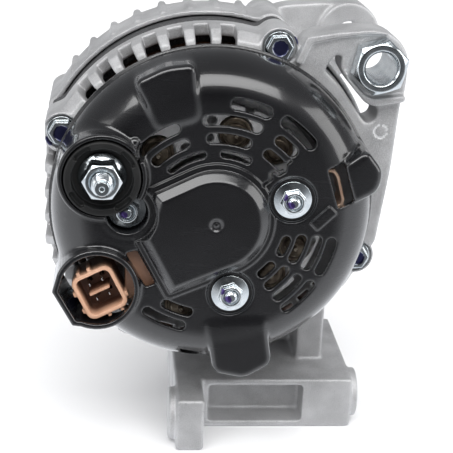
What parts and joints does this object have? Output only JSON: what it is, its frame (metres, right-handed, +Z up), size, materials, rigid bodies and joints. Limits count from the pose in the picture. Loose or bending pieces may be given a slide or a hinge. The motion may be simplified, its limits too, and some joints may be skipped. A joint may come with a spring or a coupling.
{
  "type": "car alternator",
  "caption": "Claw-pole alternator with cast brackets, black slotted rear cover, output stud, plug socket, ribbed pulley, upper ear and lower mounting foot.",
  "frame": {"origin": "where the rotor axis meets the flat rear face of the end cover's raised D-shaped boss", "axes": "+Y along the shaft from the rear cover to the pulley, +X to the right seen from the rear, +Z up"},
  "size_m": [0.1382, 0.156, 0.1694],
  "materials": {
    "b_plus_insulator": "matte moulding",
    "b_plus_nut": "zinc plated",
    "b_plus_stud": "zinc plated",
    "bearing_retainer": "machined steel",
    "brush_1": "pressed carbon and copper",
    "brush_2": "pressed carbon and copper",
    "brush_holder": "matte moulding",
    "brush_spring_1": "machined steel",
    "brush_spring_2": "machined steel",
    "claw_pole_front": "machined steel",
    "claw_pole_rear": "machined steel",
    "coil_bobbin": "matte moulding",
    "connector_pin_1": "zinc plated",
    "connector_pin_2": "zinc plated",
    "connector_pin_3": "zinc plated",
    "connector_pin_4": "zinc plated",
    "cover_nut_1": "zinc plated",
    "cover_nut_2": "zinc plated",
    "cover_nut_3": "zinc plated",
    "cover_stud_1": "zinc plated",
    "cover_stud_2": "zinc plated",
    "cover_stud_3": "zinc plated",
    "diode_1": "plated cup",
    "diode_2": "plated cup",
    "diode_3": "plated cup",
    "diode_4": "plated cup",
    "diode_5": "plated cup",
    "diode_6": "plated cup",
    "ear_sleeve_nut": "zinc plated",
    "end_cover": "glossy moulding",
    "field_coil": "bare or enamelled copper",
    "front_bearing_cage": "machined steel",
    "front_bearing_inner": "machined steel",
    "front_bearing_outer": "machined steel",
    "front_bracket": "bead-blasted casting",
    "front_fan": "machined steel",
    "phase_lead": "bare or enamelled copper",
    "pulley": "machined steel",
    "pulley_nut": "zinc plated",
    "rear_bearing_cage": "machined steel",
    "rear_bearing_inner": "machined steel",
    "rear_bearing_outer": "machined steel",
    "rear_bracket": "bead-blasted casting",
    "rear_fan": "machined steel",
    "rectifier_negative_plate": "bead-blasted casting",
    "rectifier_positive_plate": "bead-blasted casting",
    "regulator": "satin moulding",
    "shaft": "machined steel",
    "slip_ring_1": "bare or enamelled copper",
    "slip_ring_2": "bare or enamelled copper",
    "stator_core": "coated laminated steel",
    "stator_winding_front": "bare or enamelled copper",
    "stator_winding_rear": "bare or enamelled copper",
    "terminal_block": "matte moulding",
    "through_bolt_1": "zinc plated",
    "through_bolt_2": "zinc plated",
    "through_bolt_3": "zinc plated",
    "through_bolt_4": "zinc plated"
  },
  "bodies": {
    "housing": {"b_plus_insulator": "b_plus_insulator", "b_plus_nut": "b_plus_nut", "b_plus_stud": "b_plus_stud", "bearing_retainer": "bearing_retainer", "brush_holder": "brush_holder", "brush_spring_1": "brush_spring_1", "brush_spring_2": "brush_spring_2", "connector_pin_1": "connector_pin_1", "connector_pin_2": "connector_pin_2", "connector_pin_3": "connector_pin_3", "connector_pin_4": "connector_pin_4", "cover_nut_1": "cover_nut_1", "cover_nut_2": "cover_nut_2", "cover_nut_3": "cover_nut_3", "cover_stud_1": "cover_stud_1", "cover_stud_2": "cover_stud_2", "cover_stud_3": "cover_stud_3", "diode_1": "diode_1", "diode_2": "diode_2", "diode_3": "diode_3", "diode_4": "diode_4", "diode_5": "diode_5", "diode_6": "diode_6", "end_cover": "end_cover", "front_bearing_outer": "front_bearing_outer", "front_bracket": "front_bracket", "phase_lead": "phase_lead", "rear_bearing_outer": "rear_bearing_outer", "rear_bracket": "rear_bracket", "rectifier_negative_plate": "rectifier_negative_plate", "rectifier_positive_plate": "rectifier_positive_plate", "regulator": "regulator", "stator_core": "stator_core", "stator_winding_front": "stator_winding_front", "stator_winding_rear": "stator_winding_rear", "terminal_block": "terminal_block", "through_bolt_1": "through_bolt_1", "through_bolt_2": "through_bolt_2", "through_bolt_3": "through_bolt_3", "through_bolt_4": "through_bolt_4"},
    "rotor": {"shaft": "shaft", "claw_pole_rear": "claw_pole_rear", "claw_pole_front": "claw_pole_front", "field_coil": "field_coil", "coil_bobbin": "coil_bobbin", "rear_fan": "rear_fan", "front_fan": "front_fan", "slip_ring_1": "slip_ring_1", "slip_ring_2": "slip_ring_2", "rear_bearing_inner": "rear_bearing_inner", "front_bearing_inner": "front_bearing_inner", "pulley": "pulley", "pulley_nut": "pulley_nut"},
    "rear_balls": {"rear_bearing_cage": "rear_bearing_cage"},
    "front_balls": {"front_bearing_cage": "front_bearing_cage"},
    "brush_positive": {"brush_1": "brush_1"},
    "brush_negative": {"brush_2": "brush_2"},
    "sleeve_nut": {"ear_sleeve_nut": "ear_sleeve_nut"}
  },
  "joints": [
    {"name": "rotor_spin", "type": "hinge", "parent": "housing", "child": "rotor", "pos_m": [0, 0.07, 0], "axis": [0, 1, 0], "continuous": true},
    {"name": "rear_cage_orbit", "type": "hinge", "parent": "housing", "child": "rear_balls", "pos_m": [0, 0.0369, 0], "axis": [0, 1, 0], "continuous": true},
    {"name": "front_cage_orbit", "type": "hinge", "parent": "housing", "child": "front_balls", "pos_m": [0, 0.1013, 0], "axis": [0, 1, 0], "continuous": true},
    {"name": "brush_1_slide", "type": "slide", "parent": "housing", "child": "brush_positive", "axis": [-0.891, 0, -0.454], "range_m": [0, 0.0025], "stiffness_N_per_m": 250, "springref_m": -0.012, "deforming": ["brush_spring_1"]},
    {"name": "brush_2_slide", "type": "slide", "parent": "housing", "child": "brush_negative", "axis": [-0.891, 0, -0.454], "range_m": [0, 0.0025], "stiffness_N_per_m": 250, "springref_m": -0.012, "deforming": ["brush_spring_2"]},
    {"name": "sleeve_nut_slide", "type": "slide", "parent": "housing", "child": "sleeve_nut", "axis": [0, -1, 0], "range_m": [0, 0.003]}
  ],
  "couplings": [
    {"joint": "rear_cage_orbit", "follows": "rotor_spin", "ratio": 0.38},
    {"joint": "front_cage_orbit", "follows": "rotor_spin", "ratio": 0.372}
  ]
}
